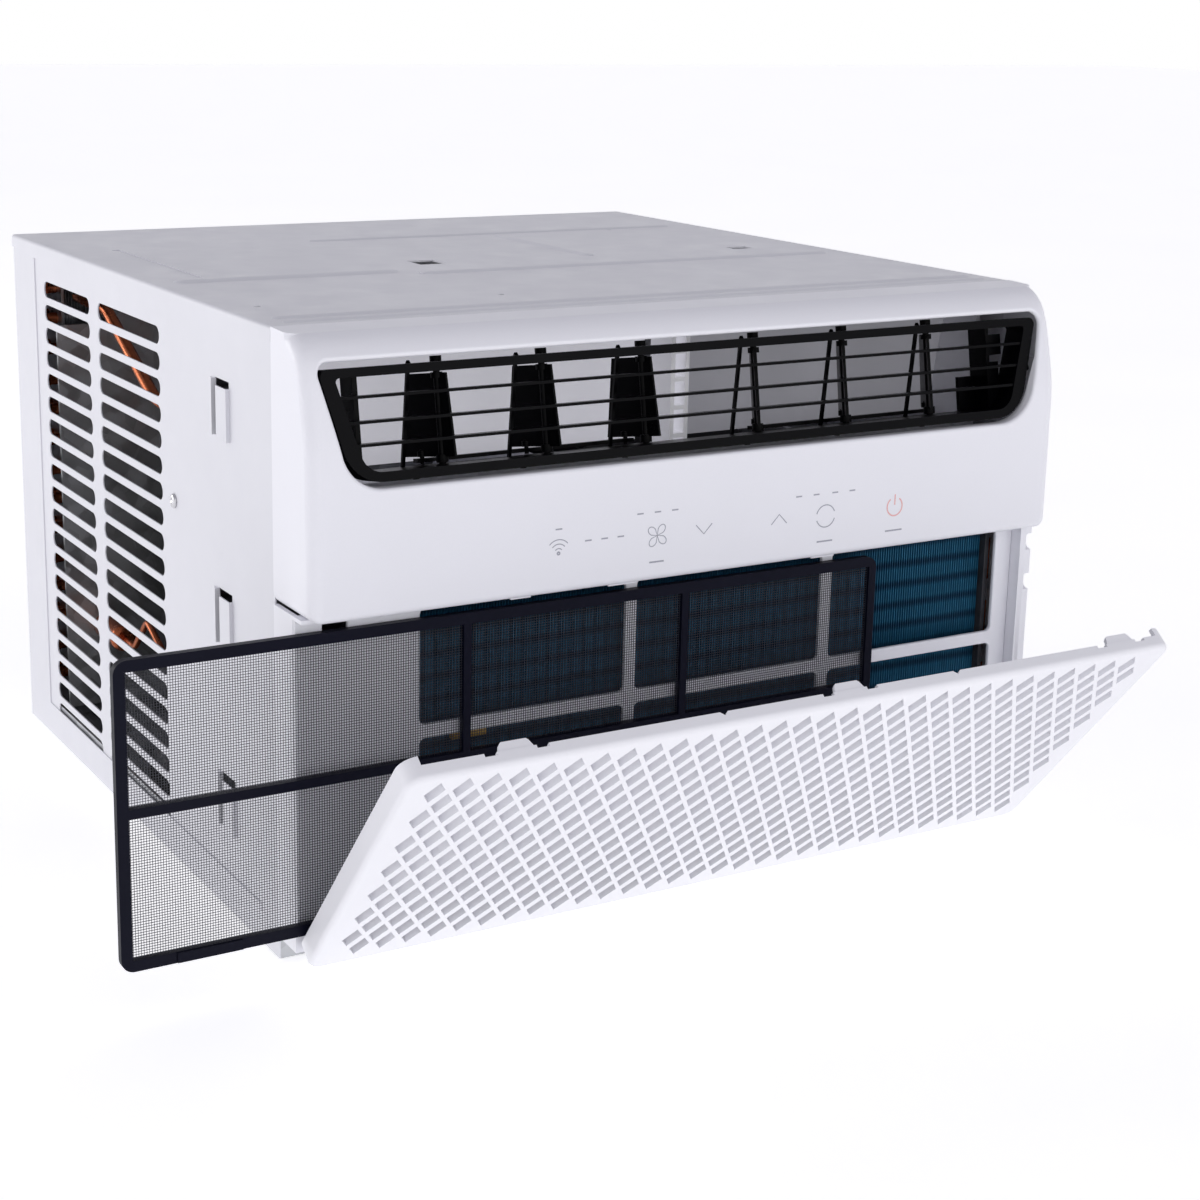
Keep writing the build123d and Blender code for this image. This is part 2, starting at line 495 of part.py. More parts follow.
# Discharge duct: floor, roof and two curved cheeks behind the louvre frame.
duct = bx(-214, 226, 8.0, 26.0, 250.0, 334.0) - bx(-211, 223, 0.0, 30, 253.0, 331.0)
duct += bx(-211, 223, 8.0, 31.0, 250.0, 253.0) + bx(-211, 223, 8.0, 150.0, 331.0, 334.0)
duct += bx(-214, -211, 8.0, 150.0, 200.0, 334.0) + bx(223, 226, 8.0, 150.0, 200.0, 334.0)
put(duct, "discharge_duct")
ribs = [bx(4.0, 6.6, 9.0, 31.0, 253.0, 331.0), bx(13.4, 16.0, 9.0, 31.0, 253.0, 331.0)]
for z in (262.0, 278.0, 294.0, 310.0, 324.0):
    ribs.append(bx(6.5, 13.5, 9.0, 30.0, z - 1.2, z + 1.2))
put(fuse(ribs), "duct_center_rib")

# Blower scroll and the wall between the indoor and outdoor halves.
scroll = cy(36.0, 142.0, FAN_AXIS_X, FAN_AXIS_Z, 118.0) - cy(34.0, 139.0, FAN_AXIS_X, FAN_AXIS_Z, 115.0)
scroll -= bx(-110, 200, 30, 150, 249.8, 320.0)
scroll -= bx(-300, 300, 30, 150, -20, 30.2)
scroll -= cy(130.0, 150.0, FAN_AXIS_X, FAN_AXIS_Z, 12.0)
put(scroll, "blower_scroll")
ring = cy(32.0, 35.6, FAN_AXIS_X, FAN_AXIS_Z, 117.0) - cy(30.0, 37.0, FAN_AXIS_X, FAN_AXIS_Z, 72.0)
ring -= bx(-300, 300, 28, 40, -20, 30.2)
ring -= bx(-300, 300, 28, 40, 249.8, 320)
put(ring, "blower_inlet_ring")
bulk = bx(-237, 237, 150.4, 152.0, 27.0, 330.8) - cy(148, 155, FAN_AXIS_X, FAN_AXIS_Z, 16.0)
put(bulk, "bulkhead")

# --------------------------------------------------------------- rotor
put(cy(48.0, 352.0, FAN_AXIS_X, FAN_AXIS_Z, 5.0), "motor_shaft")
wheel = cy(120.0, 123.0, FAN_AXIS_X, FAN_AXIS_Z, 92.0)
wheel += cy(50.0, 52.0, FAN_AXIS_X, FAN_AXIS_Z, 92.0) - cy(49.0, 53.0, FAN_AXIS_X, FAN_AXIS_Z, 76.0)
wheel += cy(112.0, 130.0, FAN_AXIS_X, FAN_AXIS_Z, 12.0)
blades = []
for k in range(36):
    blades.append(Pos(FAN_AXIS_X, 86.0, FAN_AXIS_Z) * Rot(0, 10.0 * k, 0) * Pos(84.0, 0, 0) * Rot(0, 35, 0) * Box(17.0, 70.5, 1.2))
wheel = wheel.fuse(*blades)
wheel -= cy(45.0, 135.0, FAN_AXIS_X, FAN_AXIS_Z, 5.0)
put(wheel, "blower_wheel")
fan = cy(330.0, 350.0, FAN_AXIS_X, FAN_AXIS_Z, 26.0)
bl = []
for k in range(5):
    bl.append(Pos(FAN_AXIS_X, 340.0, FAN_AXIS_Z) * Rot(0, 72.0 * k, 0) * Pos(70.0, 0, 0) * Rot(24, 0, 0) * Box(96.0, 1.8, 56.0))
fan = fan.fuse(*bl)
fan = fan & cy(300.0, 380.0, FAN_AXIS_X, FAN_AXIS_Z, 118.0)
fan += cy(336.0, 342.0, FAN_AXIS_X, FAN_AXIS_Z, 121.0) - cy(335.0, 343.0, FAN_AXIS_X, FAN_AXIS_Z, 117.0)
fan -= cy(300.0, 380.0, FAN_AXIS_X, FAN_AXIS_Z, 5.0)
put(fan, "condenser_fan")

# motor and bracket
motor = cy(196.0, 286.0, FAN_AXIS_X, FAN_AXIS_Z, 52.0)
motor += cy(188.0, 294.0, FAN_AXIS_X, FAN_AXIS_Z, 20.0)
motor -= cy(180.0, 300.0, FAN_AXIS_X, FAN_AXIS_Z, 5.06)
put(motor, "fan_motor")
brk = bx(-42, 98, 232.0, 236.0, 3.4, 240.0) - cy(230, 238, FAN_AXIS_X, FAN_AXIS_Z, 52.0)
brk = brk - bx(-18, 74, 230, 240, 30, 100)
brk += bx(-42, 98, 214.0, 254.0, 3.4, 5.4) - bx(-43, 99, 210, 222, 0, 3.4)
put(brk, "motor_bracket")

# --------------------------------------------------- outdoor coil and shroud
put(bx(-222, 222, 402.0, 436.0, 30.0, 326.0), "condenser_fins")
cp_ = [bx(-224.0, -222.0, 398, 440, 28, 328), bx(222.0, 224.0, 398, 440, 28, 328)]
group(cp_, "condenser_end_plates")
ct = []
for k in range(14):
    z = 42.0 + 20.5 * k
    for yy in (410.0, 428.0):
        ct.append(cx(-230.0, -224.0, yy, z, 3.8))
        ct.append(cx(224.0, 230.0, yy, z, 3.8))
    ct.append(bx(-235.0, -230.0, 406.5, 431.5, z - 3.4, z + 3.4))
for k in range(13):
    z = 42.0 + 20.5 * k
    ct.append(bx(230.0, 235.0, 424.5 - 18 * (k % 2), 431.5 - 18 * (k % 2), z - 3.4, z + 24))
group([fuse(ct)], "condenser_tubes")
shr = bx(-234, 234, 376.0, 378.4, 27.0, 338.4) - cy(370, 390, FAN_AXIS_X, FAN_AXIS_Z, 130.0)
collar = cy(356.0, 378.4, FAN_AXIS_X, FAN_AXIS_Z, 133.0) - cy(350.0, 390.0, FAN_AXIS_X, FAN_AXIS_Z, 130.0)
shr = shr + collar
shr -= bx(-236, -196, 370, 380, 288, 322)
put(shr, "condenser_shroud")

# ----------------------------------------------------------- sealed system
CX, CYY = -142.0, 262.0
comp = cz(22.0, 190.0, CX, CYY, 55.0)
comp = fillet(comp.edges().filter_by(GeomType.CIRCLE), 24.0)
foot = bx(CX - 74, CX + 74, CYY - 22, CYY + 22, 20.0, 23.0)
comp = comp.fuse(foot)
fh = [(CX - 64, CYY), (CX + 64, CYY)]
comp = comp.cut(*[cz(10, 30, a, b, 6.0) for (a, b) in fh])
put(comp, "compressor")
group([cz(1.2, 20.0, a, b, 12.0) - cz(0, 30, a, b, 4.6) for (a, b) in fh], "compressor_grommets")
group([cz(1.2, 30.0, a, b, 4.0) + cz(23.2, 28.0, a, b, 9.0) for (a, b) in fh], "compressor_bolts")
put(fillet(cz(60.0, 170.0, -62.0, 304.0, 18.0).edges().filter_by(GeomType.CIRCLE), 12.0), "accumulator")


def tube(points, r, radii):
    path = FilletPolyline(*points, radius=radii)
    return sweep((Plane(origin=path @ 0, z_dir=path % 0)) * Circle(r), path=path)


put(tube([(CX, CYY, 190.4), (CX, CYY, 232), (CX - 58, CYY + 20, 250), (CX - 66, CYY + 90, 300), (CX - 72, CYY + 132, 304)], 4.0, 18.0), "discharge_line")
put(tube([(-62, 304, 170.4), (-62, 304, 236), (-96, 230, 262), (-190, 180, 262), (-205, 166, 196)], 5.0, 20.0), "suction_line")
put(tube([(-209, 330.2, 84), (-209, 312, 84), (-209, 286, 108), (-209, 250, 92), (-209, 212, 116), (-206, 176, 96)], 2.2, 7.0), "capillary_tube")
fd = cy(330.4, 372.0, -209.0, 84.0, 9.0)
put(fillet(fd.edges().filter_by(GeomType.CIRCLE), 4.0), "filter_drier")

# --------------------------------------------------------- electrical box
eb2 = bx(-228, -120, 40.0, 148.0, 70.0, 196.0) - bx(-226.4, -121.6, 41.6, 146.4, 71.6, 200.0)
put(eb2, "electrical_box")
cap = cz(74.0, 150.0, -190.0, 100.0, 22.0)
put(fillet(cap.edges().filter_by(GeomType.CIRCLE), 3.0), "run_capacitor")
gl = cx(232.0, HX, -10.0, 44.0, 6.0) + cx(233.5, 237.3, -10.0, 44.0, 8.5) - cx(220, 250, -10.0, 44.0, 3.6)
put(gl, "cord_gland")

# --------------------------------------------------------------- fasteners
scr = []
for sgn in (-1, 1):
    x_a, x_b = sgn * 236.5, sgn * 240.9
    for (yy, zz) in ((147.0, 220.0),):
        c1 = cx(min(x_a, sgn * 239.0), max(x_a, sgn * 239.0), yy, zz, 2.2)
        c2 = cx(min(sgn * 239.0, x_b), max(sgn * 239.0, x_b), yy, zz, 4.2)
        scr.append(c1 + c2)
group(scr, "cabinet_screws")
rs = []
for xx in (-225.0, 225.0):
    for zz in (34.0, 328.0):
        rs.append(cy(CAB_DEPTH - 0.4, CAB_DEPTH + 1.8, xx, zz, 4.0))
group(rs, "rear_screws")
put(cz(-0.0, 6.0, -150.0, 420.0, 6.0) + cz(1.2, 5.0, -150.0, 420.0, 9.0), "drain_plug")
print("done")
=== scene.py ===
import bpy, bmesh, math, random
from mathutils import Vector, Matrix
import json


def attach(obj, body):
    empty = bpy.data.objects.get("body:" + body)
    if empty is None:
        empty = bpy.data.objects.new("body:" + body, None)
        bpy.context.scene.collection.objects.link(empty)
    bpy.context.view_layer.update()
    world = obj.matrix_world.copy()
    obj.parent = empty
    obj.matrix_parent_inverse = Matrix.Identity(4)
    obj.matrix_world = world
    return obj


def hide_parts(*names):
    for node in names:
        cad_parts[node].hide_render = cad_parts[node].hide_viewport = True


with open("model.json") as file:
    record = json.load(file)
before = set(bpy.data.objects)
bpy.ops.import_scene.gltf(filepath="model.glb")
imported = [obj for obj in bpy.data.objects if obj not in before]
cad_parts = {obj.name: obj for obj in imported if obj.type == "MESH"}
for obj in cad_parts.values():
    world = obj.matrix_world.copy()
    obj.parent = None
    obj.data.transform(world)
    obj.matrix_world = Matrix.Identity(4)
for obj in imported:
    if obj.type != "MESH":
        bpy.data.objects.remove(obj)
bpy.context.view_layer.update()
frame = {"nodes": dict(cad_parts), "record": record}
NODES = frame["nodes"]
OY = 0.202                      # the seam plane lies at y = -OY in the row frame
MM = 0.001

# ------------------------------------------------------------------ camera
cam_data = bpy.data.cameras.new("cam")
cam = bpy.data.objects.new("cam", cam_data)
bpy.context.scene.collection.objects.link(cam)
az, el, roll = math.radians(-29.99), math.radians(13.34), math.radians(1.03)
back = Vector((math.sin(az) * math.cos(el), -math.cos(az) * math.cos(el), math.sin(el)))
right = (-back).cross(Vector((0, 0, 1))).normalized()
up = right.cross(-back)
R2 = math.cos(roll) * right + math.sin(roll) * up
U2 = -math.sin(roll) * right + math.cos(roll) * up
m = Matrix.Identity(4)
for i in range(3):
    m[i][0], m[i][1], m[i][2] = R2[i], U2[i], back[i]
m[0][3], m[1][3], m[2][3] = -0.64323, -0.97858 - OY, 0.49940
cam.matrix_world = m
cam_data.sensor_width = 36.0
cam_data.lens = 2133.5 / 1200.0 * 36.0
cam_data.shift_x = -(549.16 - 600.0) / 1200.0
cam_data.shift_y = (506.88 - 600.0) / 1200.0
cam_data.clip_end = 50.0
bpy.context.scene.camera = cam

RND = random.Random(7)


# --------------------------------------------------------------- materials
class NT:
    """Small helper round one material's node tree."""

    def __init__(self, name):
        self.m = bpy.data.materials.new(name)
        self.m.use_nodes = True
        self.t = self.m.node_tree
        self.t.nodes.clear()
        self.out = self.n("ShaderNodeOutputMaterial")
        self.b = self.n("ShaderNodeBsdfPrincipled")
        self.l(self.b.outputs[0], self.out.inputs[0])
        self.tc = self.n("ShaderNodeTexCoord")

    def n(self, kind, **kw):
        node = self.t.nodes.new(kind)
        for k, v in kw.items():
            setattr(node, k, v)
        return node

    def l(self, a, b):
        self.t.links.new(a, b)

    def co(self, scale=(1, 1, 1), rot=(0, 0, 0)):
        mp = self.n("ShaderNodeMapping")
        mp.inputs["Scale"].default_value = scale
        mp.inputs["Rotation"].default_value = rot
        self.l(self.tc.outputs["Object"], mp.inputs["Vector"])
        return mp.outputs[0]

    def noise(self, scale, detail=3.0, rough=0.5, vec=None, dist=0.0):
        nd = self.n("ShaderNodeTexNoise")
        nd.inputs["Scale"].default_value = scale
        nd.inputs["Detail"].default_value = detail
        nd.inputs["Roughness"].default_value = rough
        nd.inputs["Distortion"].default_value = dist
        self.l(vec if vec is not None else self.tc.outputs["Object"], nd.inputs["Vector"])
        return nd.outputs["Fac"]

    def voronoi(self, scale, vec=None, feature="F1", out="Distance"):
        nd = self.n("ShaderNodeTexVoronoi", feature=feature)
        nd.inputs["Scale"].default_value = scale
        self.l(vec if vec is not None else self.tc.outputs["Object"], nd.inputs["Vector"])
        return nd.outputs[out]

    def wave(self, scale, direction="X", vec=None, dist=0.0, kind="BANDS", profile="SIN"):
        nd = self.n("ShaderNodeTexWave", wave_type=kind, wave_profile=profile)
        if kind == "BANDS":
            nd.bands_direction = direction
        nd.inputs["Scale"].default_value = scale
        nd.inputs["Distortion"].default_value = dist
        self.l(vec if vec is not None else self.tc.outputs["Object"], nd.inputs["Vector"])
        return nd.outputs["Fac"]

    def ramp(self, fac, stops):
        r = self.n("ShaderNodeValToRGB")
        e = r.color_ramp.elements
        while len(e) < len(stops):
            e.new(0.5)
        for k, (p, c) in enumerate(stops):
            e[k].position = p
            e[k].color = (c[0], c[1], c[2], 1.0) if not isinstance(c, (int, float)) else (c, c, c, 1.0)
        self.l(fac, r.inputs[0])
        return r.outputs[0]

    def rng(self, fac, a, b, lo=0.0, hi=1.0):
        r = self.n("ShaderNodeMapRange")
        r.inputs["From Min"].default_value = lo
        r.inputs["From Max"].default_value = hi
        r.inputs["To Min"].default_value = a
        r.inputs["To Max"].default_value = b
        self.l(fac, r.inputs["Value"])
        return r.outputs[0]

    def math(self, op, a, b=None):
        nd = self.n("ShaderNodeMath", operation=op)
        for k, v in enumerate((a, b)):
            if v is None:
                continue
            if isinstance(v, (int, float)):
                nd.inputs[k].default_value = v
            else:
                self.l(v, nd.inputs[k])
        return nd.outputs[0]

    def mix(self, fac, a, b, mode="MIX"):
        nd = self.n("ShaderNodeMix", data_type="RGBA", blend_type=mode)
        for sock, v in ((nd.inputs[0], fac), (nd.inputs[6], a), (nd.inputs[7], b)):
            if isinstance(v, (int, float)):
                sock.default_value = v
            elif isinstance(v, tuple):
                sock.default_value = (v[0], v[1], v[2], 1.0)
            else:
                self.l(v, sock)
        return nd.outputs[2]

    def bump(self, height, strength=0.2, dist=0.001, normal=None):
        b = self.n("ShaderNodeBump")
        b.inputs["Strength"].default_value = strength
        b.inputs["Distance"].default_value = dist
        self.l(height, b.inputs["Height"])
        if normal is not None:
            self.l(normal, b.inputs["Normal"])
        return b.outputs[0]

    def set(self, color=None, rough=None, normal=None, **kw):
        names = {"metal": "Metallic", "spec": "Specular IOR Level", "coat": "Coat Weight",
                 "coat_rough": "Coat Roughness", "ior": "IOR", "alpha": "Alpha",
                 "trans": "Transmission Weight", "aniso": "Anisotropic", "emit": "Emission Strength",
                 "sss": "Subsurface Weight", "sheen": "Sheen Weight"}
        for sock, v in (("Base Color", color), ("Roughness", rough), ("Normal", normal)):
            if v is None:
                continue
            if isinstance(v, (int, float)):
                self.b.inputs[sock].default_value = v
            elif isinstance(v, tuple):
                self.b.inputs[sock].default_value = (v[0], v[1], v[2], 1.0)
            else:
                self.l(v, self.b.inputs[sock])
        for k, v in kw.items():
            if k == "emit_color":
                self.b.inputs["Emission Color"].default_value = (v[0], v[1], v[2], 1.0)
            else:
                self.b.inputs[names[k]].default_value = v
        return self.m


def lin(r, g, b):
    def f(c):
        c /= 255.0
        return c / 12.92 if c <= 0.04045 else ((c + 0.055) / 1.055) ** 2.4
    return (f(r), f(g), f(b))


def dark(c, k):
    return (c[0] * k, c[1] * k, c[2] * k)


def plastic(name, col, rough=(0.36, 0.46), grain=2600.0, bump=0.06, spot=0.04, coat=0.0, spec=0.5):
    t = NT(name)
    cloud = t.noise(9.0, 4.0, 0.55)
    speck = t.noise(900.0, 2.0, 0.6)
    c = t.ramp(cloud, [(0.30, dark(col, 1.0 - spot)), (0.72, col)])
    c = t.mix(0.10, c, t.ramp(speck, [(0.25, dark(col, 0.86)), (0.7, col)]))
    r = t.rng(t.noise(34.0, 4.0, 0.6), rough[0], rough[1], 0.3, 0.7)
    fine = t.noise(grain, 2.0, 0.5)
    sink = t.noise(26.0, 2.0, 0.5)
    nrm = t.bump(fine, bump, 0.00025)
    nrm = t.bump(sink, 0.05, 0.0012, nrm)
    t.set(color=c, rough=r, normal=nrm, coat=coat, spec=spec)
    if coat:
        t.b.inputs["Coat Roughness"].default_value = 0.12
    return t.m


def painted_steel(name, col):
    t = NT(name)
    cloud = t.noise(6.0, 5.0, 0.6)
    c = t.ramp(cloud, [(0.28, dark(col, 0.955)), (0.75, col)])
    smut = t.noise(42.0, 5.0, 0.7)
    c = t.mix(t.rng(smut, 0.0, 0.22, 0.62, 0.80), c, dark(col, 0.80))
    peel = t.noise(1150.0, 2.0, 0.45)
    fine = t.noise(5200.0, 2.0, 0.5)
    oil = t.noise(11.0, 1.5, 0.4)
    nrm = t.bump(peel, 0.16, 0.00018)
    nrm = t.bump(fine, 0.05, 0.0001, nrm)
    nrm = t.bump(oil, 0.12, 0.0030, nrm)
    t.set(color=c, rough=t.rng(t.noise(60.0, 4.0), 0.34, 0.47, 0.3, 0.7), normal=nrm, spec=0.5)
    return t.m


def galvanised(name, col=(0.56, 0.57, 0.59), metal=0.9):
    t = NT(name)
    cells = t.voronoi(95.0, out="Color")
    g = t.n("ShaderNodeSeparateColor")
    t.l(cells, g.inputs[0])
    c = t.ramp(g.outputs[0], [(0.0, dark(col, 0.72)), (1.0, col)])
    streak = t.noise(140.0, 4.0, 0.6, t.co((1, 8, 1)))
    t.set(color=c, rough=t.rng(g.outputs[1], 0.30, 0.52), normal=t.bump(streak, 0.08, 0.0004), metal=metal)
    return t.m


def metal_mat(name, col, rough=(0.2, 0.36), turned=(1, 1, 1), stain=None, metal=1.0):
    t = NT(name)
    n1 = t.noise(60.0, 5.0, 0.6)
    c = t.ramp(n1, [(0.25, dark(col, 0.72)), (0.7, col)])
    if stain is not None:
        c = t.mix(t.rng(t.noise(22.0, 5.0, 0.7), 0.0, 0.75, 0.50, 0.72), c, stain)
    br = t.noise(900.0, 2.0, 0.6, t.co(turned))
    t.set(color=c, rough=t.rng(n1, rough[0], rough[1], 0.3, 0.7), normal=t.bump(br, 0.10, 0.0002), metal=metal)
    return t.m


WHITE = lin(233, 233, 238)
M = {}
M["bezel_white"] = plastic("bezel_white", lin(236, 236, 242), (0.33, 0.42), 3000.0, 0.05, 0.018, spec=0.5)
M["grille_white"] = plastic("grille_white", lin(238, 238, 243), (0.38, 0.48), 2400.0, 0.07, 0.02, spec=0.45)
M["cabinet_steel"] = painted_steel("cabinet_steel", lin(222, 222, 228))
M["galvanised_steel"] = galvanised("galvanised_steel")
M["louver_black"] = plastic("louver_black", lin(4, 4, 7), (0.26, 0.36), 2600.0, 0.04, 0.25, spec=0.07)
M["filter_frame_dark"] = plastic("filter_frame_dark", lin(13, 14, 30), (0.34, 0.44), 2600.0, 0.08, 0.2, spec=0.10)
M["duct_grey"] = plastic("duct_grey", lin(236, 236, 242), (0.40, 0.55), 1800.0, 0.10, 0.06)
M["fan_plastic"] = plastic("fan_plastic", lin(30, 30, 34), (0.35, 0.5), 1800.0, 0.1, 0.2)
M["pin_steel"] = metal_mat("pin_steel", (0.56, 0.56, 0.58), (0.22, 0.38), (1, 30, 30))
M["screw_zinc"] = metal_mat("screw_zinc", (0.70, 0.70, 0.72), (0.18, 0.32), (40, 40, 40))
M["motor_metal"] = metal_mat("motor_metal", (0.23, 0.24, 0.26), (0.35, 0.5), (1, 1, 20), metal=0.7)
def coil(name, col, low):
    # coated fins: rows of tube collars every 20 mm and streaks along the fins
    t = NT(name)
    band = t.wave(1.0 / 0.020 * 0.31831 / 2 * 3.14159, "Z", dist=0.4)
    fine = t.noise(700.0, 3.0, 0.6, t.co((1, 1, 0.12)))
    c = t.ramp(band, [(0.0, low), (0.55, col)])
    c = t.mix(t.rng(fine, 0.0, 0.45, 0.35, 0.7), c, dark(low, 0.8))
    t.set(color=c, rough=t.rng(fine, 0.30, 0.5), normal=t.bump(fine, 0.15, 0.0003), metal=0.45)
    return t.m


M["coil_blue"] = coil("coil_blue", lin(52, 128, 166), lin(24, 78, 108))
M["coil_aluminium"] = metal_mat("coil_aluminium", (0.68, 0.70, 0.72), (0.28, 0.45), (30, 1, 1), stain=(0.45, 0.46, 0.48))
M["copper"] = metal_mat("copper", lin(200, 116, 78), (0.18, 0.36), (1, 20, 1), stain=lin(120, 62, 40))
M["compressor_black"] = painted_steel("compressor_black", lin(30, 30, 33))
M["rubber_black"] = plastic("rubber_black", lin(26, 26, 27), (0.7, 0.85), 1200.0, 0.3, 0.25, spec=0.3)
M["board_green"] = plastic("board_green", lin(20, 84, 46), (0.3, 0.45), 1200.0, 0.2, 0.3, coat=0.3)
M["film_clear"] = plastic("film_clear", lin(200, 202, 210), (0.2, 0.3), 1200.0, 0.02, 0.05)
M["sensor_resin"] = plastic("sensor_resin", lin(196, 156, 60), (0.35, 0.5), 1200.0, 0.1, 0.2)
# ladder rib material: white plastic with a weak emission, a painted glow that makes the rib brighter than its lighting
# gives
M["rib_white"] = plastic("rib_white", lin(242, 242, 246), (0.38, 0.5), 1800.0, 0.10, 0.05)
M["rib_white"].node_tree.nodes["Principled BSDF"].inputs["Emission Color"].default_value = (0.95, 0.94, 1.0, 1)
M["rib_white"].node_tree.nodes["Principled BSDF"].inputs["Emission Strength"].default_value = 0.14
# evaporator end plates: galvanised pattern in a near-black colour, painted shade at the dark ends of the coil
M["end_plate_dark"] = galvanised("end_plate_dark", (0.09, 0.09, 0.10), 0.6)

slot_of = {}
for sp in frame["record"]["subparts"]:
    slot_of[sp["node"]] = sp["material_slot"]


def paint(obj, mat):
    obj.data.materials.clear()
    obj.data.materials.append(mat)


for name, o in NODES.items():
    s = slot_of.get(name)
    if s in M:
        if len(o.material_slots) == 0:
            o.data.materials.append(M[s])
        for sl in o.material_slots:
            sl.material = M[s]
    # the ladder rib takes the glowing white material: painted light
    if name == "duct_center_rib":
        for sl in o.material_slots:
            sl.material = M["rib_white"]
    if name == "evaporator_end_plates":
        for sl in o.material_slots:
            sl.material = M["end_plate_dark"]


def soften(name, width, seg=2, ang=32.0):
    o = NODES.get(name)
    if o is None:
        return
    b = o.modifiers.new("edge", "BEVEL")
    b.width = width * 0.001
    b.segments = seg
    b.limit_method = "ANGLE"
    b.angle_limit = math.radians(ang)
    b.harden_normals = True
    b.use_clamp_overlap = True


for nm in ("louver_frame", "left_vane_1", "left_vane_2", "left_vane_3", "right_vane_1", "right_vane_2",
           "right_vane_3", "left_link_bar", "right_link_bar"):
    soften(nm, 0.35)
soften("filter_frame", 0.55, 3)
soften("grille_latch_tabs", 0.35)
soften("left_side_panel", 0.22)
soften("right_side_panel", 0.22)
soften("top_panel", 0.3)
soften("rear_frame", 0.3)
soften("base_pan", 0.3)

# ------------------------------------------------------------ mesh helpers
def new_obj(name, verts, faces, mat, body, smooth=False):
    me = bpy.data.meshes.new(name)
    me.from_pydata(verts, [], faces)
    me.validate()
    me.update()
    o = bpy.data.objects.new(name, me)
    bpy.context.scene.collection.objects.link(o)
    me.materials.append(mat)
    if smooth:
        for p in me.polygons:
            p.use_smooth = True
    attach(o, body)
    return o


def from_bm(name, bm, mat, body, smooth=False):
    me = bpy.data.meshes.new(name)
    bmesh.ops.recalc_face_normals(bm, faces=bm.faces)
    bm.to_mesh(me)
    bm.free()
    o = bpy.data.objects.new(name, me)
    bpy.context.scene.collection.objects.link(o)
    me.materials.append(mat)
    if smooth:
        for p in me.polygons:
            p.use_smooth = True
    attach(o, body)
    return o


def P(x, y, z):
    """millimetres about the seam plane to metres in the row frame"""
    return Vector((x * MM, y * MM - OY, z * MM))


def add_box(verts, faces, x0, x1, y0, y1, z0, z1):
    b = len(verts)
    for (x, y, z) in ((x0, y0, z0), (x1, y0, z0), (x1, y1, z0), (x0, y1, z0), (x0, y0, z1), (x1, y0, z1), (x1, y1, z1), (x0, y1, z1)):
        verts.append(P(x, y, z))
    for f in ((0, 3, 2, 1), (4, 5, 6, 7), (0, 1, 5, 4), (1, 2, 6, 5), (2, 3, 7, 6), (3, 0, 4, 7)):
        faces.append(tuple(b + k for k in f))


def smooth_by_angle(o, deg=35.0):
    """Marks a new piece smooth but keeps edges above the angle sharp."""
    me = o.data
    for p in me.polygons:
        p.use_smooth = True
    bm = bmesh.new()
    bm.from_mesh(me)
    for e in bm.edges:
        if len(e.link_faces) == 2:
            e.smooth = e.calc_face_angle(0.0) < math.radians(deg)
    bm.to_mesh(me)
    bm.free()


# ------------------------------------------------------------- filter net
FX0, FX1, FZ0, FZ1 = -336.5, 123.5, 26.9, 188.5
vs, fs = [], []
PITCH, TH = 1.40, 0.12
nx = int((FX1 - FX0 - 8) / PITCH)
for i in range(nx + 1):
    x = FX0 + 4 + i * PITCH
    add_box(vs, fs, x - TH, x + TH, -31.0, -30.70, FZ0 + 4, FZ1 - 4)
nz = int((FZ1 - FZ0 - 8) / PITCH)
for i in range(nz + 1):
    z = FZ0 + 4 + i * PITCH
    add_box(vs, fs, FX0 + 4, FX1 - 4, -30.74, -30.4, z - TH, z + TH)
t = NT("filter_net")
nn = t.noise(420.0, 3.0, 0.6)
t.set(color=t.ramp(nn, [(0.3, lin(20, 21, 30)), (0.7, lin(44, 46, 58))]), rough=0.42, normal=t.bump(nn, 0.2, 0.0002), spec=0.5)
net = new_obj("filter_net_weave", vs, fs, t.m, "filter")
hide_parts("filter_mesh")

# ------------------------------------------- moulded intake frame (one piece)
WX = ((-170.0, -44.6), (-37.2, 88.2), (95.8, 219.0))
WZ = ((34.0, 54.0), (62.0, 121.2), (129.0, 192.2))


def rounded(x0, x1, z0, z1, r, n=6):
    pts = []
    for (cx_, cz_, a0) in ((x1 - r, z1 - r, 0), (x0 + r, z1 - r, 90), (x0 + r, z0 + r, 180), (x1 - r, z0 + r, 270)):
        for k in range(n + 1):
            a = math.radians(a0 + 90.0 * k / n)
            pts.append((cx_ + r * math.cos(a), cz_ + r * math.sin(a)))
    return pts


def plate(name, outer, holes, y0, y1, bev):
    """flat plate with holes, rounded over at both faces"""
    cu = bpy.data.curves.new(name + "_c", "CURVE")
    cu.dimensions = "2D"
    cu.fill_mode = "BOTH"
    for loop in [outer] + holes:
        sp = cu.splines.new("POLY")
        sp.points.add(len(loop) - 1)
        for i, (x, z) in enumerate(loop):
            sp.points[i].co = (x * MM, z * MM, 0, 1)
        sp.use_cyclic_u = True
    cu.extrude = (y1 - y0) * 0.5 * MM - bev * MM
    cu.bevel_depth = bev * MM
    cu.bevel_resolution = 3
    cu.offset = -bev * MM
    tmp = bpy.data.objects.new(name + "_t", cu)
    bpy.context.scene.collection.objects.link(tmp)
    bpy.context.view_layer.update()
    dg = bpy.context.evaluated_depsgraph_get()
    me = bpy.data.meshes.new_from_object(tmp.evaluated_get(dg))
    bpy.data.objects.remove(tmp)
    bpy.data.curves.remove(cu)
    # curve plane (x, z, depth) to row frame
    rot = Matrix(((1, 0, 0, 0), (0, 0, -1, (y0 + y1) * 0.5 * MM - OY), (0, 1, 0, 0), (0, 0, 0, 1)))
    me.transform(rot)
    return me


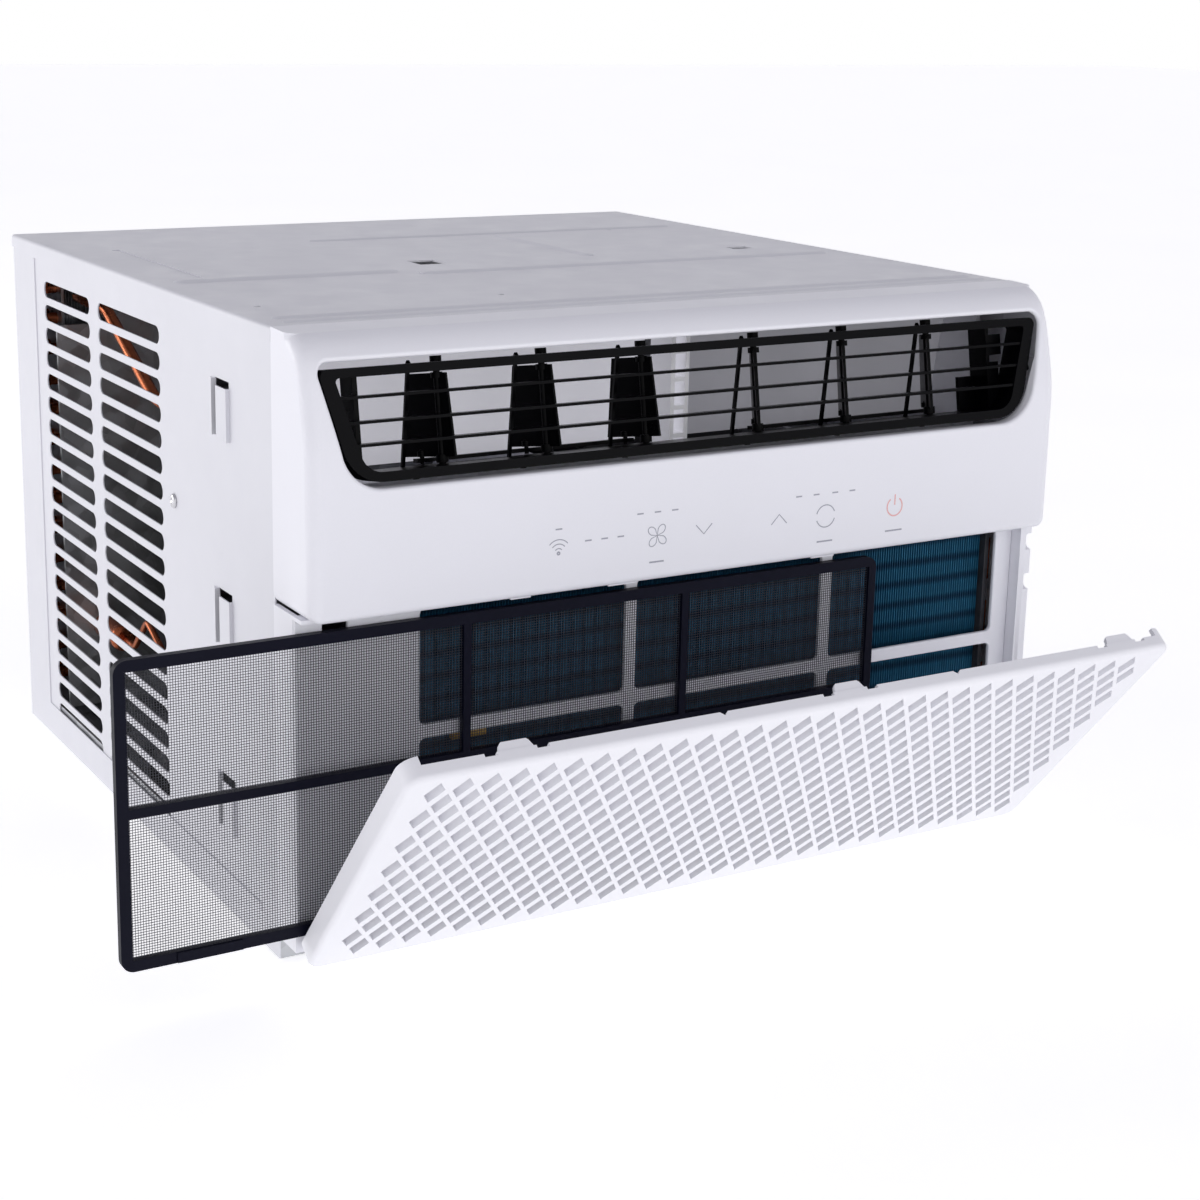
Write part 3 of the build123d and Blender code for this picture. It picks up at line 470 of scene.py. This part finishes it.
src = NODES["intake_frame"]
bm = bmesh.new()
bm.from_mesh(src.data)
bm.transform(src.matrix_world)
bm.verts.ensure_lookup_table()
bmesh.ops.remove_doubles(bm, verts=bm.verts, dist=1e-9)
seen, drop = set(), []
for v in bm.verts:
    if v in seen:
        continue
    comp, todo = [], [v]
    seen.add(v)
    while todo:
        c = todo.pop()
        comp.append(c)
        for e in c.link_edges:
            o2 = e.other_vert(c)
            if o2 not in seen:
                seen.add(o2)
                todo.append(o2)
    ys = [(c.co.y + OY) * 1000 for c in comp]
    zs = [c.co.z * 1000 for c in comp]
    if min(ys) > -27.05 and max(ys) < -24.35 and min(zs) > 26.0:
        drop += comp
bmesh.ops.delete(bm, geom=drop, context="VERTS")
pm = plate("intake_plate", [(-239.9, 31.0), (-235.5, 31.0), (-235.4, 26.7), (231.4, 26.7), (231.4, 194.9), (-239.9, 194.9)],
           [rounded(a, b, c, d, 3.2) for (a, b) in WX for (c, d) in WZ] + [rounded(-225.0, -211.0, 181.0, 194.4, 0.8)], -27.0, -24.4, 0.7)
bm.from_mesh(pm)
fr_me = from_bm("intake_frame_moulding", bm, M["bezel_white"], "cabinet")
smooth_by_angle(fr_me, 40.0)
bv = fr_me.modifiers.new("edge", "BEVEL")
bv.width = 0.0002
bv.segments = 2
bv.limit_method = "ANGLE"
bv.angle_limit = math.radians(50.0)
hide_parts("intake_frame")

# ------------------------------------------------------ marks on the fascia
ink = NT("fascia_ink")
ni = ink.noise(1500.0, 2.0)
ink.set(color=ink.ramp(ni, [(0.3, lin(150, 151, 162)), (0.7, lin(168, 169, 180))]), rough=0.4, normal=ink.bump(ni, 0.05, 0.0001))
ink_r = NT("fascia_ink_red")
ni = ink_r.noise(1500.0, 2.0)
ink_r.set(color=ink_r.ramp(ni, [(0.3, lin(224, 166, 164)), (0.7, lin(234, 182, 180))]), rough=0.4, normal=ink_r.bump(ni, 0.05, 0.0001))
YF = -47.93


def stroke(vs, fs, pts, wd=0.55, closed=False):
    n = len(pts)
    L, Rr = [], []
    for i in range(n):
        if closed:
            a, b = pts[(i - 1) % n], pts[(i + 1) % n]
        else:
            a, b = pts[max(i - 1, 0)], pts[min(i + 1, n - 1)]
        dx, dz = b[0] - a[0], b[1] - a[1]
        q = math.hypot(dx, dz) or 1.0
        nx_, nz_ = -dz / q * wd / 2, dx / q * wd / 2
        L.append((pts[i][0] + nx_, pts[i][1] + nz_))
        Rr.append((pts[i][0] - nx_, pts[i][1] - nz_))
    m_ = n if closed else n - 1
    for i in range(m_):
        j = (i + 1) % n
        quad = [L[i], L[j], Rr[j], Rr[i]]
        b0 = len(vs)
        for (x, z) in quad:
            vs.append(P(x, YF - 0.05, z))
        for (x, z) in quad:
            vs.append(P(x, YF + 0.06, z))
        fs.append((b0, b0 + 1, b0 + 2, b0 + 3))
        for k in range(4):
            k2_ = (k + 1) % 4
            fs.append((b0 + k, b0 + 4 + k, b0 + 4 + k2_, b0 + k2_))


def arc(cx_, cz_, r, a0, a1, n=14):
    return [(cx_ + r * math.cos(math.radians(a0 + (a1 - a0) * k / n)), cz_ + r * math.sin(math.radians(a0 + (a1 - a0) * k / n))) for k in range(n + 1)]


vs, fs = [], []
for r in (2.6, 5.0, 7.4):
    stroke(vs, fs, arc(-100.0, 219.0, r, 42, 138))
stroke(vs, fs, arc(-100.0, 219.0, 0.7, 0, 330, 8), 0.9, True)
for k in range(4):                                  # four looped fan blades
    a0 = 90 * k + 20
    ax_, az_ = -39.0 + 3.4 * math.cos(math.radians(a0 + 30)), 222.0 + 3.4 * math.sin(math.radians(a0 + 30))
    blade = [(-39.0, 222.0)]
    for q in range(13):
        ph = q / 12.0
        rr = 1.2 + 5.8 * math.sin(math.pi * (0.15 + 0.70 * ph))
        an = math.radians(a0 + 62.0 * ph)
        blade.append((-39.0 + rr * math.cos(an), 222.0 + rr * math.sin(an)))
    stroke(vs, fs, blade, 0.5, True)
stroke(vs, fs, [(-14.2, 225.0), (-9.0, 219.6), (-3.8, 225.0)], 0.6)
stroke(vs, fs, [(35.8, 219.8), (41.0, 225.2), (46.2, 219.8)], 0.6)
stroke(vs, fs, arc(73.0, 221.0, 6.4, 20, 165), 0.6)
stroke(vs, fs, arc(73.0, 221.0, 6.4, 200, 345), 0.6)
for (x, z) in ((-100, 232), (-82, 224), (-72, 224), (-62, 224), (-50, 235), (-39, 235), (-28, 235), (54, 234), (66, 234), (79, 234), (91, 234)):
    stroke(vs, fs, [(x - 2.0, z), (x + 2.0, z)], 0.8)
for (x, z, h) in ((-39, 207.5, 4.6), (73, 206.5, 5.4), (122, 207.5, 6.0)):
    stroke(vs, fs, [(x - h, z), (x + h, z)], 0.9)
new_obj("fascia_marks", vs, fs, ink.m, "cabinet")
vs, fs = [], []
stroke(vs, fs, arc(122.0, 221.5, 5.4, 125, 415, 20), 0.8)
stroke(vs, fs, [(122.0, 222.5), (122.0, 228.6)], 0.8)
new_obj("power_mark", vs, fs, ink_r.m, "cabinet")

# ----------------------------------------------- curved liner of the air duct
# left liner sheet: light grey plastic with emission 0.30, a painted glow that stands in for light inside the duct
liner = plastic("liner_painted_glow", lin(226, 226, 232), (0.45, 0.6), 1600.0, 0.12, 0.08)
liner.node_tree.nodes["Principled BSDF"].inputs["Emission Color"].default_value = (0.93, 0.92, 1.0, 1)
liner.node_tree.nodes["Principled BSDF"].inputs["Emission Strength"].default_value = 0.30


def liner_sheet(name, x0, x1, mat):
    prof = []
    for k in range(17):
        ph = k / 16.0
        z = 330.6 - 77.0 * ph
        y = 33.0 + 12.5 * math.sin(math.pi * 0.5 * ph)
        prof.append((y, z))
    vs_, fs_ = [], []
    for (y, z) in prof:
        vs_ += [P(x0, y, z), P(x1, y, z), P(x1, y + 1.2, z), P(x0, y + 1.2, z)]
    for k in range(16):
        b0 = 4 * k
        for q in range(4):
            fs_.append((b0 + q, b0 + (q + 1) % 4, b0 + 4 + (q + 1) % 4, b0 + 4 + q))
    fs_.append((3, 2, 1, 0))
    fs_.append((64, 65, 66, 67))
    o_ = new_obj(name, vs_, fs_, mat, "cabinet")
    smooth_by_angle(o_, 30)
    return o_


liner_sheet("duct_liner_left", -210.6, 4.0, liner)
# right liner sheet: a darker copy of the liner white with a weaker glow, painted shade on this side of the duct
# together with a painted glow
liner_painted_shade_glow = plastic("liner_painted_shade_glow", lin(190, 190, 198), (0.45, 0.6), 1600.0, 0.12, 0.08)
liner_painted_shade_glow.node_tree.nodes["Principled BSDF"].inputs["Emission Color"].default_value = (0.93, 0.92, 1.0, 1)
liner_painted_shade_glow.node_tree.nodes["Principled BSDF"].inputs["Emission Strength"].default_value = 0.10
liner_sheet("duct_liner_right", 16.0, 222.6, liner_painted_shade_glow)

# ------------------------------------------- pressed beads of the top sheet
def bead(bm_, x0, x1, y0, y1, h, n=10):
    """a pressed ridge with rounded sides and ends, on the top sheet"""
    long_x = (x1 - x0) > (y1 - y0)
    half = 0.5 * ((y1 - y0) if long_x else (x1 - x0))
    L0, L1 = (x0, x1) if long_x else (y0, y1)
    mid = 0.5 * ((y0 + y1) if long_x else (x0 + x1))
    stations = [(L0 + half * (1 - math.cos(math.pi / 2 * k / 6)), math.sin(math.pi / 2 * k / 6)) for k in range(7)]
    stations += [(L1 - half * (1 - math.cos(math.pi / 2 * k / 6)), math.sin(math.pi / 2 * k / 6)) for k in range(6, -1, -1)]
    rows = []
    for (u, sc) in stations:
        row = []
        for k in range(n + 1):
            ph = math.pi * k / n
            v = mid - half * max(sc, 0.02) * math.cos(ph)
            z = 339.9 + (h + 0.1) * sc * 0.5 * (1 - math.cos(2 * ph))
            row.append(bm_.verts.new(P(u, v, z) if long_x else P(v, u, z)))
        rows.append(row)
    for a in range(len(rows) - 1):
        for k in range(n):
            bm_.faces.new((rows[a][k], rows[a][k + 1], rows[a + 1][k + 1], rows[a + 1][k]))
    # flat underside inside the sheet closes the ridge
    loop = [r[0] for r in rows] + rows[-1][1:] + [r[-1] for r in reversed(rows[:-1])] + list(reversed(rows[0][1:-1]))
    bm_.faces.new(list(reversed(loop)))


bm = bmesh.new()
bead(bm, -226.0, -85.0, 168.0, 183.0, 1.5)
bead(bm, -76.0, 222.0, 155.5, 164.5, 1.3)
bead(bm, 61.0, 71.0, 202.0, 330.0, 1.2)
bead(bm, -229.0, 229.0, 21.0, 29.0, 1.1)
bead(bm, -229.0, 229.0, 8.0, 13.0, 0.8)
bead(bm, -70.0, 215.0, 338.0, 346.0, 1.0)
tb = from_bm("top_sheet_beads", bm, M["cabinet_steel"], "cabinet", True)

# --------------------------------------------------- screws with cross slots
def screw_heads(name, centres, axis, r, h, node):
    bm_ = bmesh.new()
    for (c, sgn) in centres:
        ax = Vector(axis) * sgn
        q = ax.to_track_quat("Z", "Y").to_matrix().to_4x4()
        base = Matrix.Translation(c) @ q
        prof = [(0.0, h * 0.62), (r * 0.16, h * 0.62), (r * 0.30, h), (r * 0.62, h * 0.96), (r * 0.88, h * 0.74), (r, h * 0.36), (r, 0.0), (0.0, 0.0)]
        n = 32
        rings = []
        for (rr, hh) in prof:
            ring = []
            for k in range(n):
                a = 2 * math.pi * k / n
                lobe = 1.0
                if r * 0.1 < rr < r * 0.5 and hh > 0:
                    lobe = 1.0 + 0.75 * (abs(math.cos(2 * a)) ** 6)
                ring.append(bm_.verts.new(base @ Vector((rr * lobe * math.cos(a) * MM, rr * lobe * math.sin(a) * MM, hh * MM))))
            rings.append(ring)
        for i in range(len(rings) - 1):
            for k in range(n):
                k2_ = (k + 1) % n
                try:
                    bm_.faces.new((rings[i][k], rings[i][k2_], rings[i + 1][k2_], rings[i + 1][k]))
                except ValueError:
                    pass
    bmesh.ops.remove_doubles(bm_, verts=bm_.verts, dist=1e-7)
    o_ = from_bm(name, bm_, M["screw_zinc"], "cabinet", True)
    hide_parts(node)
    return o_


screw_heads("cabinet_screw_heads", [(P(239.05, 147, 220), 1), (P(-239.05, 147, 220), -1)], (1, 0, 0), 4.2, 1.85, "cabinet_screws")
screw_heads("rear_screw_heads", [(P(x, 451.7, z), 1) for x in (-225.0, 225.0) for z in (34.0, 328.0)], (0, 1, 0), 4.0, 2.0, "rear_screws")

# --------------------------------------------------- indoor and outdoor fins
vs, fs = [], []
x = -175.5
while x < 215.8:
    add_box(vs, fs, x, x + 0.28, -17.0, 21.0, 30.0, 196.0)
    x += 1.75
ev = new_obj("evaporator_fin_pack", vs, fs, M["coil_blue"], "cabinet")
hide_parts("evaporator_fins")
bm = bmesh.new()
for yy in (-8.0, 12.0):
    for k in range(8):
        z = 40.0 + 20.0 * k + (4 if yy > 0 else 0)
        mat = Matrix.Translation(P(20.0, yy, z)) @ Matrix.Rotation(math.pi / 2, 4, "Y")
        bmesh.ops.create_cone(bm, cap_ends=False, segments=16, radius1=4.4 * MM, radius2=4.4 * MM, depth=392 * MM, matrix=mat)
from_bm("evaporator_tube_runs", bm, M["coil_blue"], "cabinet", True)
vs, fs = [], []
x = -221.5
while x < 221.8:
    add_box(vs, fs, x, x + 0.3, 402.0, 436.0, 30.0, 326.0)
    x += 1.9
cf = new_obj("condenser_fin_pack", vs, fs, M["coil_aluminium"], "cabinet")
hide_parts("condenser_fins")
bm = bmesh.new()
for k in range(14):
    for yy in (410.0, 428.0):
        z = 42.0 + 20.5 * k
        mat = Matrix.Translation(P(0.0, yy, z)) @ Matrix.Rotation(math.pi / 2, 4, "Y")
        bmesh.ops.create_cone(bm, cap_ends=False, segments=16, radius1=4.6 * MM, radius2=4.6 * MM, depth=444 * MM, matrix=mat)
from_bm("condenser_tube_runs", bm, M["coil_aluminium"], "cabinet", True)

# ----------------------------------------------------------- stage & light
fl = NT("floor_pale")
fl.set(color=fl.ramp(fl.noise(3.0, 3.0), [(0.3, (0.88, 0.88, 0.885)), (0.7, (0.91, 0.91, 0.915))]), rough=0.6, spec=0.2,
       emit=0.50, emit_color=(1.0, 1.0, 1.0))
me = bpy.data.meshes.new("floor")
S = 14.0
me.from_pydata([(-S, -S, -0.0005), (S, -S, -0.0005), (S, S, -0.0005), (-S, S, -0.0005)], [], [(0, 1, 2, 3)])
floor = bpy.data.objects.new("floor", me)
bpy.context.scene.collection.objects.link(floor)
me.materials.append(fl.m)

# world: bright round the horizon, dimmer overhead
w = bpy.data.worlds.new("studio")
bpy.context.scene.world = w
w.use_nodes = True
wt = w.node_tree
bg = wt.nodes["Background"]
tcw = wt.nodes.new("ShaderNodeTexCoord")
sepw = wt.nodes.new("ShaderNodeSeparateXYZ")
wt.links.new(tcw.outputs["Generated"], sepw.inputs[0])
rw = wt.nodes.new("ShaderNodeValToRGB")
er = rw.color_ramp.elements
er[0].position, er[0].color = 0.06, (1.0, 1.0, 1.0, 1)
er[1].position, er[1].color = 1.0, (0.34, 0.335, 0.375, 1)
e2 = er.new(0.30)
e2.color = (0.80, 0.795, 0.84, 1)
e3 = er.new(0.62)
e3.color = (0.45, 0.445, 0.49, 1)
wt.links.new(sepw.outputs["Z"], rw.inputs[0])
wt.links.new(rw.outputs[0], bg.inputs[0])
bg.inputs[1].default_value = 1.0
bpy.context.scene.view_settings.view_transform = "Standard"


def area(name, loc, target, size, power, color=(1, 1, 1)):
    ld = bpy.data.lights.new(name, "AREA")
    ld.shape = "RECTANGLE"
    ld.size, ld.size_y = size
    ld.energy = power
    ld.color = color
    o = bpy.data.objects.new(name, ld)
    bpy.context.scene.collection.objects.link(o)
    d = Vector(target) - Vector(loc)
    o.matrix_world = Matrix.Translation(Vector(loc)) @ d.to_track_quat("-Z", "Y").to_matrix().to_4x4()
    return o


area("front", (0.5, -2.4, 0.75), (0, -0.2, 0.17), (1.8, 1.0), 4.5)
area("key", (-0.9, -2.1, 1.1), (0, -0.2, 0.15), (1.4, 1.0), 2.5)
area("left", (-2.1, 1.9, 0.75), (-0.24, 0.24, 0.17), (1.5, 1.1), 17)

import json
